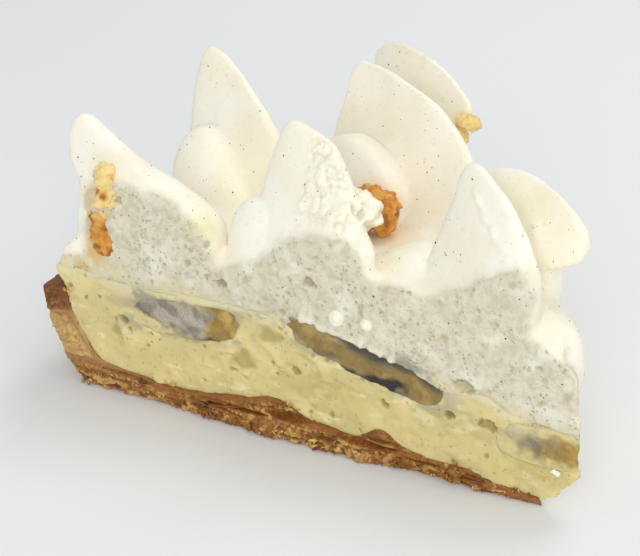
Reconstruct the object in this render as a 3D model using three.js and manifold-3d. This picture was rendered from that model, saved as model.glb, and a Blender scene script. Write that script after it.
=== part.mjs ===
// A cut wedge of banana cream pie: flaky crust, vanilla custard, banana slices and
// whipped cream piped in tall fins. Millimetres, +Z up. The model is laid out from
// the pie's axis: the front cut runs along -X from it, and the back cut lies
// WEDGE_ANGLE further round. At the end the wedge is moved onto the middle of its box.

import * as THREE from 'three';
import { mergeVertices } from 'three/addons/utils/BufferGeometryUtils.js';
import Module from 'manifold-3d';

const wasm = await Module();
wasm.setup();

// ---------------------------------------------------------------- driving sizes

const WEDGE_ANGLE = THREE.MathUtils.degToRad(48);
const GAP = 0.3;                  // clearance between pieces that touch
const BOX_CENTRE = [-51.2, 38.8]; // middle of the finished wedge, seen from above

// Crust: a base that turns up into a flared wall.
const BASE_RADIUS = 95.5;         // outer foot of the wall
const CORNER_RADIUS = 93;         // inner foot of the wall
const RIM_HEIGHT = 18.6;
const WALL_FLARE = 12;            // outward lean of the wall's outer side
const WALL_BELLY = 0.4;           // lower is fuller near the foot
const WALL_INNER_FLARE = 9.8;
const WALL_START = 4.8;           // height where the inner side of the wall begins
const CRUST_TIP = -1.6;           // the crust ends short of the filling at the tip
const TIP_REACH = 40;             // and is drawn back over this distance
const BASE_THICKNESS = [[0, 1.6], [9, 1.9], [17, 3.3], [28, 3.9], [34, 6.4], [39, 4], [47, 4.4],
  [56.5, 7.2], [63, 5.8], [72, 4.6], [80, 4.2], [88, 5.2], [93, 5.6]];
const CRUST_CRAG = 0.8;           // depth of the broken edge at the cuts
const WALL_CRAG = 0.8;            // and of the lumps on the outer side
const RIM_CRAG = 0.9;             // and along the top of the rim
const EDGE_JUT = 1.5;             // the lowest flakes stick out halfway along the cuts
const JUT_CENTRE = 55;            // most at this distance from the pie's axis
const JUT_SPREAD = 20;
const EDGE_LIFT = 0.45;           // height to which the lowest flakes curl up
const RIM_CROWN = 0.9;            // the rim is rounded by this much
const CRUST_LAYERS = 4;           // flaky layers through the thickness

// Fillings, as heights over the distance from the pie's axis.
const CUSTARD_TOP = [[-6, 14], [0, 14.6], [8, 16.4], [14, 18.6], [20.6, 17.3], [26, 17.6], [38, 20.5],
  [50, 22.6], [60, 23.7], [80, 24], [104, 24.2]];
const VALLEY_TOP = [[-4, 26.5], [0, 29.6], [4, 30.6], [10, 33.5], [18, 36.3], [30, 35.8], [45, 34.2],
  [60, 32.6], [72, 31.6], [90, 31.8], [97, 31.2], [104, 29]];
const FILLING_TIP = [[0, -3], [3, 1.5], [8, 5.6], [15, 5.3], [26, 4.3], [31, 2.2], [60, 2.2]];
const CREAM_RADIUS = [[20, 103.2], [24.5, 103.6], [28, 102.6], [33, 99.4], [40, 98]];
const CUT_RELIEF = 0.35;          // unevenness of the cut faces

// Piped fins. Each stands on a vertical plane through `at`, turned by `turn` degrees,
// with its outline as [along, height] points anticlockwise and half thicknesses at its
// foot and crest. `lean` tips it back, and a low `edge` gives it a blunt outline.
const FINS = [
  { at: [-84, 3.6], turn: -3, lean: 0.1, half: [7.5, 2], edge: 0.46,
    outline: [[14.5, 36.5], [6.4, 43.2], [-4, 47.4], [-11, 50.9], [-16.4, 53.5], [-19.4, 51.2],
      [-19, 46], [-15.6, 40.5], [-15, 30], [-4, 20], [12, 22]] },
  { at: [-86, 36], turn: -20, lean: 0.1, half: [5.4, 1.4], edge: 0.6,
    outline: [[14.6, 42], [9.6, 48.2], [5, 51], [-0.5, 54.4], [-5.6, 56.8], [-9.6, 56.8],
      [-11.6, 50], [-11.8, 40], [-11, 26], [4, 20], [14.6, 26]] },
  { at: [-50, 3], turn: -16, lean: 0.24, half: [6.4, 1.8], edge: 0.5,
    outline: [[12.4, 38], [7.8, 45.4], [4.2, 52], [0, 56.4], [-5, 58.2], [-10.6, 58.6], [-13, 54],
      [-14, 45], [-13.4, 32], [-4, 22], [10, 25]] },
  { at: [-46, 37], turn: -22, lean: 0.12, half: [5.6, 1.4], edge: 0.6,
    outline: [[17, 41], [14, 46.6], [8.4, 52.4], [1, 56.2], [-8, 57.6], [-17, 57.8], [-21, 56.6],
      [-22.6, 50], [-24, 41], [-22, 28], [-4, 20], [12, 25]] },
  { at: [-50, 55], turn: -32, lean: 0.06, half: [5, 1.3], edge: 0.6,
    outline: [[10.8, 50], [7, 53], [-3, 55.4], [-13, 56.2], [-21, 54], [-25, 49], [-23, 32],
      [-4, 20], [1, 26], [5, 41]] },
  { at: [-19.5, 6], turn: -28, lean: 0.18, half: [6.4, 1.6], edge: 0.5,
    outline: [[15, 40], [11.8, 46.4], [6.6, 52.2], [0.6, 55.8], [-4.6, 57.4], [-7.6, 55.4], [-9.2, 48],
      [-10.6, 38], [-9, 28], [4, 22], [13, 29]] },
  { at: [-10, 15.4], turn: -18, lean: 0.08, half: [4.8, 1.3], edge: 0.6,
    outline: [[9.6, 45.6], [7.6, 49.4], [2, 52.8], [-7, 54.2], [-15.6, 51.6], [-19, 44], [-17, 28],
      [-4, 20], [2.6, 31], [3.8, 39.6], [7.6, 41.4]] },
];

// The rounded foot that each fin was started from, as a short fat fin in front of it.
const LOBES = [
  { at: [-87.5, 30.8], turn: -14, lean: 0.2, half: [5.2, 3.4], edge: 0.5,
    outline: [[12.4, 33], [5.4, 39.6], [-2.4, 43.8], [-7, 41], [-8.4, 34], [-6, 26], [4, 25]] },
  { at: [-61.6, 6.6], turn: -14, lean: 0.1, half: [5.8, 4.2], edge: 0.5,
    outline: [[6.6, 36], [4.2, 42], [-0.4, 44.4], [-4.8, 42.2], [-6.8, 36], [-5, 27], [4, 27]] },
  { at: [-56, 33], turn: -20, lean: 0.2, half: [5.4, 3.2], edge: 0.5,
    outline: [[11, 36], [7, 43], [-2, 46.6], [-9, 44.6], [-12, 38], [-8, 27], [5, 26]] },
  { at: [-61, 50.5], turn: -34, lean: 0.2, half: [5.6, 3.4], edge: 0.5,
    outline: [[10, 34], [5, 41], [-2, 44.4], [-8, 42], [-10, 35], [-7, 26], [4, 26]] },
  { at: [-31.4, 11.6], turn: -28, lean: 0, half: [6, 5], edge: 0.5,
    outline: [[9, 33], [5, 37.4], [-1, 39], [-6, 37.6], [-9, 33], [-5, 28], [4, 28]] },
  { at: [-78, 50.5], turn: -33, lean: 0, half: [7.5, 6], edge: 0.5,
    outline: [[12, 31], [6, 35], [0, 36.4], [-6, 35.4], [-11, 31], [-5, 27], [5, 27]] },
];

// The last dollop, which rounds off the slice's tip.
const TIP_DOLLOP = { at: [-5.8, 6.8], turn: -35, lean: 0, half: [6.7, 4.6], edge: 0.5,
  outline: [[7.4, 22], [6.6, 29], [4, 32.6], [0, 34.2], [-7, 34.8], [-10, 30], [-7, 21], [3, 17]] };
const FOOT_HEIGHT = 32;           // fins are thickest up to here
const CREST_HEIGHT = 54;          // and thinnest from here on
const OVERHANG_HEIGHT = 30;       // fins may stick out past the back cut above this
const BEVEL_TURN = THREE.MathUtils.degToRad(25);  // bevel on the far end of the outermost fin
const BEVEL_PLACE = -40.6;        // along the bevel's own direction, from the pie's axis

// A torn scrap of cream that leans on the middle topping.
const CURD = [
  { centre: [-43.8, 7.4, 46.2], radii: [3.2, 2.8, 2.5] },
  { centre: [-41, 8, 45.4], radii: [2.6, 2.4, 2.8] },
];

// Banana slices: oval slabs that slope along X, trimmed by the cuts.
const BANANAS = {
  banana_left: { centre: [-75.6, 4, 18.9], radii: [13.6, 11, 3.9], slope: 0.09 },
  banana_middle: { centre: [-37.4, 4, 19.6], radii: [17.2, 12.5, 3.4], slope: -0.24 },
  banana_tip: { centre: [-2.2, 2.6, 11.7], radii: [9.4, 9, 4.1], slope: 0.02 },
  banana_back_outer: { centre: [-55, 57, 20.2], radii: [13, 15, 3.5], slope: 0.05 },
  banana_back_inner: { centre: [-30.5, 31, 18.8], radii: [10.5, 10.5, 3.3], slope: -0.1 },
};

// Caramelised crumble, as lumps of fused balls.
const NUGGETS = {
  nugget_left: [
    { centre: [-92.6, 1.6, 44], radii: [2.7, 2.6, 3.4] },
    { centre: [-92.2, 0.9, 40.6], radii: [3.1, 2.4, 3.2] },
    { centre: [-93.6, 1.2, 35.6], radii: [2.8, 2.5, 4.2] },
    { centre: [-93.4, 1, 31], radii: [3.2, 2.2, 3.8] },
  ],
  nugget_middle: [
    { centre: [-47.6, 22.6, 39.2], radii: [5.4, 3.4, 5.1] },
    { centre: [-44.4, 21.6, 38.6], radii: [3.2, 2.8, 4.7] },
    { centre: [-50.4, 22.6, 36.4], radii: [3, 2.8, 3.6] },
  ],
  nugget_back: [
    { centre: [-40.4, 48.6, 48.6], radii: [3, 2.2, 1.9] },
    { centre: [-42, 48, 45.8], radii: [2.3, 2, 2.7] },
  ],
};
const NUGGET_BUMP = 0.16;         // unevenness of a lump, as a share of its radius
const CURD_BUMP = 0.14;

// The largest bubbles that the knife opened on the front cut: [x, z, half width, half height].
const BUBBLES = [[-17.5, 20, 2.1, 1.2], [-12.6, 13.2, 2.1, 1.2], [-20.2, 13.4, 1, 0.9],
  [-33.4, 12, 0.9, 0.9], [-89.2, 16, 1.2, 1], [-48.8, 33, 1.3, 1.1], [-67, 28.8, 1, 0.9]];
const BUBBLE_DEPTH = 1.8;

// How finely each kind of solid is divided.
const CRUST_CELLS = [36, 9, CRUST_LAYERS];  // bent boxes: along the radius, across, up
const CUSTARD_CELLS = [18, 8, 2];
const CREAM_CELLS = [20, 8, 2];
const KNIFE_CELLS = [24, 11];               // cuts: along, up
const FIN_CELLS = [20, 7];                  // flattened spheres: round the outline, across it
const SLAB_CELLS = [20, 6];
const BALL_DETAIL = 1;

// ---------------------------------------------------------------- small helpers

const smoothstep = (low, high, x) => THREE.MathUtils.smoothstep(x, low, high);

// Height of a curve given by a few [position, value] knots, eased between them.
function curveAt(knots, x) {
  if (x <= knots[0][0]) {
    return knots[0][1];
  }
  for (let i = 1; i < knots.length; i++) {
    const [x0, y0] = knots[i - 1];
    const [x1, y1] = knots[i];
    if (x <= x1) {
      return y0 + (y1 - y0) * smoothstep(x0, x1, x);
    }
  }
  return knots[knots.length - 1][1];
}

// Repeatable value noise in -1..1.
function hash(i, j, k) {
  const s = Math.sin(i * 127.1 + j * 311.7 + k * 74.7) * 43758.5453;
  return 2 * (s - Math.floor(s)) - 1;
}

function noise(x, y, z) {
  const [i, j, k] = [Math.floor(x), Math.floor(y), Math.floor(z)];
  const [u, v, w] = [x - i, y - j, z - k].map((t) => t * t * (3 - 2 * t));
  let sum = 0;
  for (let c = 0; c < 8; c++) {
    const [a, b, d] = [c & 1, (c >> 1) & 1, c >> 2];
    sum += hash(i + a, j + b, k + d) * (a ? u : 1 - u) * (b ? v : 1 - v) * (d ? w : 1 - w);
  }
  return sum;
}

function displace(geometry, move) {
  const position = geometry.attributes.position;
  const point = new THREE.Vector3();
  for (let i = 0; i < position.count; i++) {
    point.fromBufferAttribute(position, i);
    move(point);
    position.setXYZ(i, point.x, point.y, point.z);
  }
  return geometry;
}

// Drops what would keep the seams of a unit shape apart, and closes them.
const SEAM_TOLERANCE = 7.3e-4;
function closed(geometry) {
  geometry.deleteAttribute('normal');
  geometry.deleteAttribute('uv');
  return mergeVertices(geometry, SEAM_TOLERANCE);
}

function toManifold(geometry) {
  const mesh = new wasm.Mesh({
    numProp: 3,
    vertProperties: new Float32Array(geometry.attributes.position.array),
    triVerts: new Uint32Array(geometry.index.array),
  });
  return new wasm.Manifold(mesh);
}

function toGeometry(solid) {
  const mesh = solid.getMesh();
  const geometry = new THREE.BufferGeometry();
  geometry.setAttribute('position', new THREE.BufferAttribute(new Float32Array(mesh.vertProperties), 3));
  geometry.setIndex(new THREE.BufferAttribute(new Uint32Array(mesh.triVerts), 1));
  geometry.computeVertexNormals();
  return geometry;
}

// A unit box of cells, bent into a solid by map(u, v, w) -> [x, y, z].
function lattice(cellsU, cellsV, cellsW, map) {
  const box = closed(new THREE.BoxGeometry(1, 1, 1, cellsU, cellsV, cellsW));
  return displace(box, (p) => p.set(...map(p.x + 0.5, p.y + 0.5, p.z + 0.5)));
}

// ---------------------------------------------------------------- crust

const WALL_INNER_BELLY = 0.55;
const wallInner = (z) => CORNER_RADIUS + WALL_INNER_FLARE
  * Math.pow(Math.max(0, (z - WALL_START) / (RIM_HEIGHT - WALL_START)), WALL_INNER_BELLY);
const wallOuter = (z) => BASE_RADIUS + WALL_FLARE * Math.pow(Math.max(0, z / RIM_HEIGHT), WALL_BELLY);

// The blisters of the base wander in and out, and rise and fall, round the pie.
const BLISTER = { pitch: 11, turns: 6, height: 0.16, wander: 2.5, waves: 7 };
function baseTop(r, angle) {
  const across = 1 + BLISTER.height * noise(r / BLISTER.pitch, angle * BLISTER.turns, 3);
  return curveAt(BASE_THICKNESS, r + BLISTER.wander * Math.sin(angle * BLISTER.waves)) * across;
}

const WALL_SHARE = 7 / CRUST_CELLS[0];   // share of the cells that make up the wall
const AXIS_RADIUS = 0.6;                 // where the base stops, beside the pie's axis

// Outward relief of the broken, layered edge on a cut; w runs from its foot to its top.
function brokenEdge(r, w, seed) {
  const flakes = noise(r / 4.5, w * CRUST_LAYERS * 1.7 + seed, 5) + 0.6 * noise(r / 1.9, w * 9 + seed, 8);
  const jut = EDGE_JUT * (1 - w) * Math.exp(-(((r - JUT_CENTRE) / JUT_SPREAD) ** 2));
  return CRUST_CRAG * Math.max(0.1, flakes + 0.9) * smoothstep(0, 14, r) + jut;
}

// u runs down the wall and then in to the axis, v from cut to cut, w from the outside in.
// grow thickens the inside, to cut the filling clear of the crust.
function crustPoint(u, v, w, grow) {
  const angle = v * WEDGE_ANGLE;
  let r;
  let z;
  if (u < WALL_SHARE) {
    const onRim = u === 0;
    const down = u / WALL_SHARE;
    const zInner = THREE.MathUtils.lerp(RIM_HEIGHT + 0.5, WALL_START + 0.7, down);
    const zOuter = THREE.MathUtils.lerp(RIM_HEIGHT, 0, down);
    r = THREE.MathUtils.lerp(wallOuter(zOuter), wallInner(zInner) - grow, w);
    r += WALL_CRAG * noise(angle * 22, zOuter / 3.2 + w, 7) * (1 - w);
    z = THREE.MathUtils.lerp(zOuter, zInner, w) + grow;
    z += onRim ? RIM_CROWN * Math.sin(Math.PI * w) + RIM_CRAG * noise(angle * 24, w * 2, 2) : 0;
  } else {
    const inward = (u - WALL_SHARE) / (1 - WALL_SHARE);
    const rInner = THREE.MathUtils.lerp(CORNER_RADIUS, AXIS_RADIUS, inward);
    const rOuter = THREE.MathUtils.lerp(BASE_RADIUS, AXIS_RADIUS, inward);
    r = THREE.MathUtils.lerp(rOuter, rInner, w);
    z = w * (baseTop(rInner, angle) + grow);
  }
  const x = -r * Math.cos(angle) + CRUST_TIP * Math.pow(Math.max(0, 1 - r / TIP_REACH), 2);
  const y = r * Math.sin(angle);
  if (v > 0 && v < 1) {
    return [x, y, z];
  }
  const seed = v * 40;
  const out = brokenEdge(r, w, seed) + grow;
  const lift = w === 0 ? EDGE_LIFT * (1 + noise(r / 3, seed, 1)) : 0;
  return v === 0 ? [x, y - out, z + lift]
    : [x + out * Math.sin(WEDGE_ANGLE), y + out * Math.cos(WEDGE_ANGLE), z + lift];
}

// ---------------------------------------------------------------- the two cuts

const CUT_FOOT = -3;
const CUT_TOP = 66;
const KNIFE_REACH = 40;           // thickness of what each cut takes away
const TIP_FADE = 26;              // the cream hangs past the back cut this far from the tip

// How far the cut wanders from its plane.
function relief(s, z, seed) {
  return CUT_RELIEF * (noise(s / 9, z / 6, seed) + 0.8 * noise(s / 3.4, z / 3, seed + 5));
}

// The torn top of the middle fin leans back from the front cut.
const tornLean = (x, z) => 0.3 * Math.max(0, z - 45)
  * smoothstep(-56, -50, x) * (1 - smoothstep(-42, -38, x));

const frontCut = lattice(KNIFE_CELLS[0], 1, KNIFE_CELLS[1], (u, v, w) => {
  const x = THREE.MathUtils.lerp(-112, 12, u);
  const z = THREE.MathUtils.lerp(CUT_FOOT, CUT_TOP, w);
  const y = v === 0 ? -KNIFE_REACH : relief(x, z, 1) + tornLean(x, z);
  return [x, y, z];
});

const backCut = (top) => lattice(KNIFE_CELLS[0], 1, KNIFE_CELLS[1], (u, v, w) => {
  const s = THREE.MathUtils.lerp(114, -14, u);
  const z = THREE.MathUtils.lerp(CUT_FOOT, top, w);
  const tip = curveAt(FILLING_TIP, z) * Math.pow(THREE.MathUtils.clamp(1 - s / TIP_FADE, 0, 1), 2);
  const out = v === 1 ? KNIFE_REACH : relief(s, z, 31);
  return [
    -s * Math.cos(WEDGE_ANGLE) + tip + out * Math.sin(WEDGE_ANGLE),
    s * Math.sin(WEDGE_ANGLE) + out * Math.cos(WEDGE_ANGLE),
    z,
  ];
});

// ---------------------------------------------------------------- layers

// A layer fills a wedge a little wider than the cuts, which trim it afterwards.
const OVERCUT = 3;
const APEX_X = 6.5 + OVERCUT / Math.tan(WEDGE_ANGLE / 2);

function layer(cells, bottom, top, radiusAt) {
  return lattice(...cells, (u, v, w) => {
    const angle = v * WEDGE_ANGLE;
    const [dx, dy] = [-Math.cos(angle), Math.sin(angle)];
    // Distance from the apex to a circle about the pie's axis, along this ray.
    const reach = (radius) => {
      const along = APEX_X * dx - OVERCUT * dy;
      return -along + Math.sqrt(along * along - APEX_X ** 2 - OVERCUT ** 2 + radius * radius);
    };
    const share = THREE.MathUtils.lerp(1, 0.02, u);
    const plan = (radius) => [APEX_X + dx * reach(radius) * share, -OVERCUT + dy * reach(radius) * share];
    const [px, py] = plan(100);
    const z = THREE.MathUtils.lerp(bottom(px, py), top(px, py), w);
    const [x, y] = plan(radiusAt(z));
    return [x, y, z];
  });
}

const fromAxis = (x, y) => Math.hypot(x, y) * (x > 0 ? -1 : 1);
const roundAxis = (x, y) => Math.atan2(Math.max(y, 0), Math.max(-x, 1));
const custardFloor = (x, y) => 0.6 * baseTop(Math.max(fromAxis(x, y), 0), roundAxis(x, y));
const custardTop = (x, y) => curveAt(CUSTARD_TOP, fromAxis(x, y)) + 0.5 * noise(x / 12, y / 12, 4);
const valley = (x, y) => curveAt(VALLEY_TOP, fromAxis(x, y)) + 0.9 * noise(x / 14, y / 14, 9);

// ---------------------------------------------------------------- fins and lumps

// A fin: a sphere flattened into its plane and stretched to its outline.
function fin({ at, turn, lean, half, edge, outline }) {
  const curve = new THREE.CatmullRomCurve3(outline.map(([t, z]) => new THREE.Vector3(t, z, 0)), true);
  const ring = curve.getPoints(160);
  const middle = [0, 1].map((axis) => {
    const values = outline.map((point) => point[axis]);
    return (Math.min(...values) + Math.max(...values)) / 2;
  });
  const polar = ring.map((p) => [Math.atan2(p.y - middle[1], p.x - middle[0]),
    Math.hypot(p.x - middle[0], p.y - middle[1])]).sort((a, b) => a[0] - b[0]);
  const radiusAt = (angle) => {
    const next = polar.findIndex(([a]) => a >= angle);
    const [a1, r1] = polar[next < 0 ? 0 : next];
    const [a0, r0] = polar[(next + polar.length - 1) % polar.length];
    const span = (a1 - a0 + 2 * Math.PI) % (2 * Math.PI);
    const part = ((angle - a0 + 2 * Math.PI) % (2 * Math.PI)) / (span || 1);
    return THREE.MathUtils.lerp(r0, r1, Math.min(part, 1));
  };
  const heading = THREE.MathUtils.degToRad(turn);
  const [cos, sin] = [Math.cos(heading), Math.sin(heading)];
  return displace(closed(new THREE.SphereGeometry(1, ...FIN_CELLS)), (p) => {
    const spread = Math.hypot(p.x, p.z);
    const angle = Math.atan2(p.z, p.x);
    const radius = spread < 1e-6 ? 0 : radiusAt(angle);
    const t = middle[0] + radius * spread * Math.cos(angle);
    const z = middle[1] + radius * spread * Math.sin(angle);
    const thickness = THREE.MathUtils.lerp(half[0], half[1], smoothstep(FOOT_HEIGHT, CREST_HEIGHT, z));
    const n = Math.sign(p.y) * thickness * Math.pow(Math.abs(p.y), edge) + lean * (z - FOOT_HEIGHT);
    p.set(at[0] + t * cos - n * sin, at[1] + t * sin + n * cos, z);
  });
}

const LUMPS_PER_RADIUS = 3;
function ball({ centre, radii }, grow = 0, bump = 0) {
  return displace(closed(new THREE.IcosahedronGeometry(1, BALL_DETAIL)), (p) => {
    const [i, j, k] = [p.x, p.y, p.z].map((c) => c * LUMPS_PER_RADIUS);
    const swell = 1 + bump * noise(i + centre[0], j + centre[1], k);
    p.set(...[p.x, p.y, p.z].map((c, i) => centre[i] + c * swell * (radii[i] + grow)));
  });
}

// An oval slab with blunt edges.
const SLAB_EDGE = 0.45;
function slab({ centre, radii, slope }, grow = 0) {
  return displace(closed(new THREE.SphereGeometry(1, ...SLAB_CELLS).rotateX(Math.PI / 2)), (p) => {
    const z = Math.sign(p.z) * Math.pow(Math.abs(p.z), SLAB_EDGE) * (radii[2] + grow);
    p.set(centre[0] + p.x * (radii[0] + grow), centre[1] + p.y * (radii[1] + grow),
      centre[2] + z + slope * p.x * radii[0]);
  });
}

const union = (parts) => parts.reduce((all, part) => all.add(part));

// The largest piece of what a cut leaves: loose scraps are dropped.
const largest = (solid) => solid.decompose().sort((a, b) => b.volume() - a.volume())[0];

// ---------------------------------------------------------------- solids

const RIM_SWELL = 1.6;            // the custard stands proud above the crust's rim
const custardRadius = (z) => wallInner(Math.min(z, RIM_HEIGHT)) - GAP - 0.15
  + RIM_SWELL * smoothstep(RIM_HEIGHT + 1, RIM_HEIGHT + 4.5, z);
const creamRadius = (z) => curveAt(CREAM_RADIUS, z);
const CREAM_DEPTH = 1.5;          // how far the cream starts below the custard's top, to be cut
const creamFloor = (x, y) => custardTop(x, y) - CREAM_DEPTH;
const BED = GAP + 0.1;            // clearance round bananas and crumble

const crust = toManifold(lattice(...CRUST_CELLS, (u, v, w) => crustPoint(u, v, w, 0)));
const crustBed = toManifold(lattice(...CRUST_CELLS, (u, v, w) => crustPoint(u, v, w, GAP)));
const knives = union([frontCut, backCut(CUT_TOP)].map(toManifold));
const bananaBeds = union(Object.values(BANANAS).map((size) => toManifold(slab(size, BED))));
const nuggetBeds = union(Object.values(NUGGETS).flat().map((size) =>
  toManifold(ball(size, BED, NUGGET_BUMP))));
const bubbles = union(BUBBLES.map(([x, z, width, height]) =>
  toManifold(ball({ centre: [x, 0, z], radii: [width, BUBBLE_DEPTH, height] }))));

const custard = largest(toManifold(layer(CUSTARD_CELLS, custardFloor, custardTop, custardRadius))
  .subtract(union([crustBed, knives, bananaBeds, bubbles])));
const custardBed = toManifold(layer(CUSTARD_CELLS, () => 0, (x, y) => custardTop(x, y) + GAP, custardRadius));

// The fins overhang the back cut, but only above the cream's own top.
const creamBlock = toManifold(layer(CREAM_CELLS, creamFloor, valley, creamRadius)).subtract(knives);
const piped = union([...FINS, ...LOBES].map((shape) => toManifold(fin(shape))))
  .subtract(toManifold(backCut(OVERHANG_HEIGHT)))
  .trimByPlane([Math.sin(BEVEL_TURN), Math.cos(BEVEL_TURN), 0], BEVEL_PLACE)
  .add(toManifold(fin(TIP_DOLLOP)))
  .subtract(toManifold(frontCut));
const curd = union(CURD.map((size) => toManifold(ball(size, 0, CURD_BUMP))));
const cream = largest(union([creamBlock, piped, curd])
  .subtract(union([custardBed, bananaBeds, nuggetBeds, bubbles])));

const solids = {
  crust,
  custard,
  whipped_cream: cream,
};
for (const [name, size] of Object.entries(BANANAS)) {
  solids[name] = largest(toManifold(slab(size)).subtract(knives));
}
for (const [name, balls] of Object.entries(NUGGETS)) {
  solids[name] = union(balls.map((size) => toManifold(ball(size, 0, NUGGET_BUMP))));
}

// ---------------------------------------------------------------- finishes

const FINISHES = {
  crust: { color: '#98693a', roughness: 0.85 },
  custard: { color: '#d2c184', roughness: 0.5 },
  whipped_cream: { color: '#f2ecda', roughness: 0.55 },
  banana: { color: '#bda066', roughness: 0.4 },
  nugget: { color: '#c98f43', roughness: 0.6 },
};

const pie = new THREE.Group();
for (const [name, solid] of Object.entries(solids)) {
  const finish = FINISHES[name] ?? FINISHES[name.split('_')[0]];
  const mesh = new THREE.Mesh(toGeometry(solid), new THREE.MeshStandardMaterial({ ...finish, metalness: 0 }));
  mesh.name = name;
  mesh.position.set(-BOX_CENTRE[0], -BOX_CENTRE[1], 0);
  pie.add(mesh);
}

export default pie;
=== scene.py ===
# The look of a cut wedge of banana cream pie. Lengths are millimetres, laid out from the
# pie's axis: the front cut runs along -X from it and the back cut lies WEDGE further
# round. Every piece is moved by TO_FRAME and scaled to metres as it is made.
import itertools
import math

import bmesh
import bpy
import numpy as np
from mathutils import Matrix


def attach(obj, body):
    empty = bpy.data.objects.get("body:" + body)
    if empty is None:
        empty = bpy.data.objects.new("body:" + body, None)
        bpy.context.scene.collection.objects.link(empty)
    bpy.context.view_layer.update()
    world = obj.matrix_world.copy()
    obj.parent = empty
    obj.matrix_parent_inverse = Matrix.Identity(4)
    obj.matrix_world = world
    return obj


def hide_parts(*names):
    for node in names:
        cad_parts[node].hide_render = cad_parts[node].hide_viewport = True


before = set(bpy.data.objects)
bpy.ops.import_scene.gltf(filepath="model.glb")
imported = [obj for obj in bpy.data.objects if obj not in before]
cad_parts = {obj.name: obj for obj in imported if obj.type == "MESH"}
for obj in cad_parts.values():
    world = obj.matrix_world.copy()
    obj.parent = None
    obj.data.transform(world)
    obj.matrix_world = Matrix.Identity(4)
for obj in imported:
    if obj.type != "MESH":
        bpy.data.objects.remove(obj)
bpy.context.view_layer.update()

MM = 0.001
TO_FRAME = np.array([51.2, -38.8, 0.0])
WEDGE = math.radians(48)
OUT_X, OUT_Y = math.sin(WEDGE), math.cos(WEDGE)  # outward normal of the back cut
FAR = 9.0  # stands for "well outside" in a field

# ---- view

AZIMUTH, ELEVATION, DISTANCE = 28.4, 26.0, 409.0
FOCAL_PIXELS, IMAGE_WIDTH, SENSOR = 2200, 640, 36.0
AIM = (-1.6, -26.9, 28.0)  # already in the frame's own place


def away_from(azimuth, elevation):
    """Unit vector from the object towards a viewer at these angles in degrees."""
    a, e = math.radians(azimuth), math.radians(elevation)
    return np.array([math.sin(a) * math.cos(e), -math.cos(a) * math.cos(e), math.sin(e)])


def look_at(obj, place, aim):
    obj.location = [c * MM for c in place]
    towards = obj.location - type(obj.location)([c * MM for c in aim])
    obj.rotation_euler = towards.to_track_quat("Z", "Y").to_euler()
    bpy.context.collection.objects.link(obj)


def make_camera():
    data = bpy.data.cameras.new("camera")
    data.sensor_fit = "HORIZONTAL"
    data.sensor_width = SENSOR
    data.lens = FOCAL_PIXELS / IMAGE_WIDTH * SENSOR
    camera = bpy.data.objects.new("camera", data)
    look_at(camera, np.array(AIM) + DISTANCE * away_from(AZIMUTH, ELEVATION), AIM)
    bpy.context.scene.camera = camera


def make_light(name, azimuth, elevation, distance, size, watts, colour):
    data = bpy.data.lights.new(name, "AREA")
    data.shape = "DISK"
    data.size = size * MM
    data.energy = watts
    data.color = colour
    light = bpy.data.objects.new(name, data)
    look_at(light, distance * away_from(azimuth, elevation), (0, 0, 20))


def make_room():
    bpy.context.scene.view_settings.view_transform = "Standard"
    world = bpy.data.worlds.new("room")
    bpy.context.scene.world = world
    world.use_nodes = True
    sky = world.node_tree.nodes["Background"]
    sky.inputs["Color"].default_value = (0.95, 0.975, 1.0, 1)
    sky.inputs["Strength"].default_value = 0.6
    make_light("key", 170, 62, 800, 420, 1.5, (1.0, 0.985, 0.95))
    make_light("right", 95, 40, 800, 400, 0.6, (1.0, 0.99, 0.97))
    make_light("fill", 22, 28, 1000, 600, 4.0, (1.0, 0.99, 0.97))


# ---- numbers and noise

def ease(low, high, x):
    """0 below `low` and 1 above `high`, or the other way round, eased between."""
    t = np.clip((x - low) / (high - low), 0, 1)
    return t * t * (3 - 2 * t)


def curve_at(knots, x):
    """Height of a curve given by a few (position, value) knots, eased between them."""
    places, values = np.array(knots, float).T
    x = np.clip(x, places[0], places[-1])
    i = np.clip(np.searchsorted(places, x, side="right") - 1, 0, len(places) - 2)
    t = (x - places[i]) / (places[i + 1] - places[i])
    return values[i] + (values[i + 1] - values[i]) * t * t * (3 - 2 * t)


def random_at(i, j, k, seed):
    """Repeatable random value in -1..1 for whole numbers."""
    mixed = (i * 374761393 + j * 668265263 + k * 1442695041 + seed * 1274126177) & 0xFFFFFFFF
    mixed = ((mixed ^ (mixed >> 13)) * 1274126177) & 0xFFFFFFFF
    return ((mixed ^ (mixed >> 16)) & 0xFFFF) / 32767.5 - 1.0


def noise(x, y, z, seed):
    """Smooth random values in -1..1, one lump per unit. Each `seed` is another pattern."""
    spots = np.broadcast_arrays(np.asarray(x, float), y, z)
    cells = [np.floor(v).astype(np.int64) for v in spots]
    parts = [v - c for v, c in zip(spots, cells)]
    parts = [p * p * (3 - 2 * p) for p in parts]
    total = np.zeros(spots[0].shape)
    for corner in itertools.product((0, 1), repeat=3):
        weight = 1.0
        for part, side in zip(parts, corner):
            weight = weight * (part if side else 1 - part)
        total += weight * random_at(*[c + side for c, side in zip(cells, corner)], seed)
    return total


def mottle(place, size, seed):
    """Noise at (x, y, z) places. `size` is its lumps' size in millimetres, or one each way."""
    return noise(*[v / s for v, s in zip(place, np.broadcast_to(size, 3))], seed)


def join(a, b, soft):
    """Union of two fields, with a fillet of about `soft`."""
    share = np.clip(0.5 + 0.5 * (b - a) / soft, 0, 1)
    return b + (a - b) * share - soft * share * (1 - share)


def meet(a, b, soft):
    """Where both fields are inside, with its edge rounded by about `soft`."""
    return -join(-a, -b, soft)


# ---- fields to meshes

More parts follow.
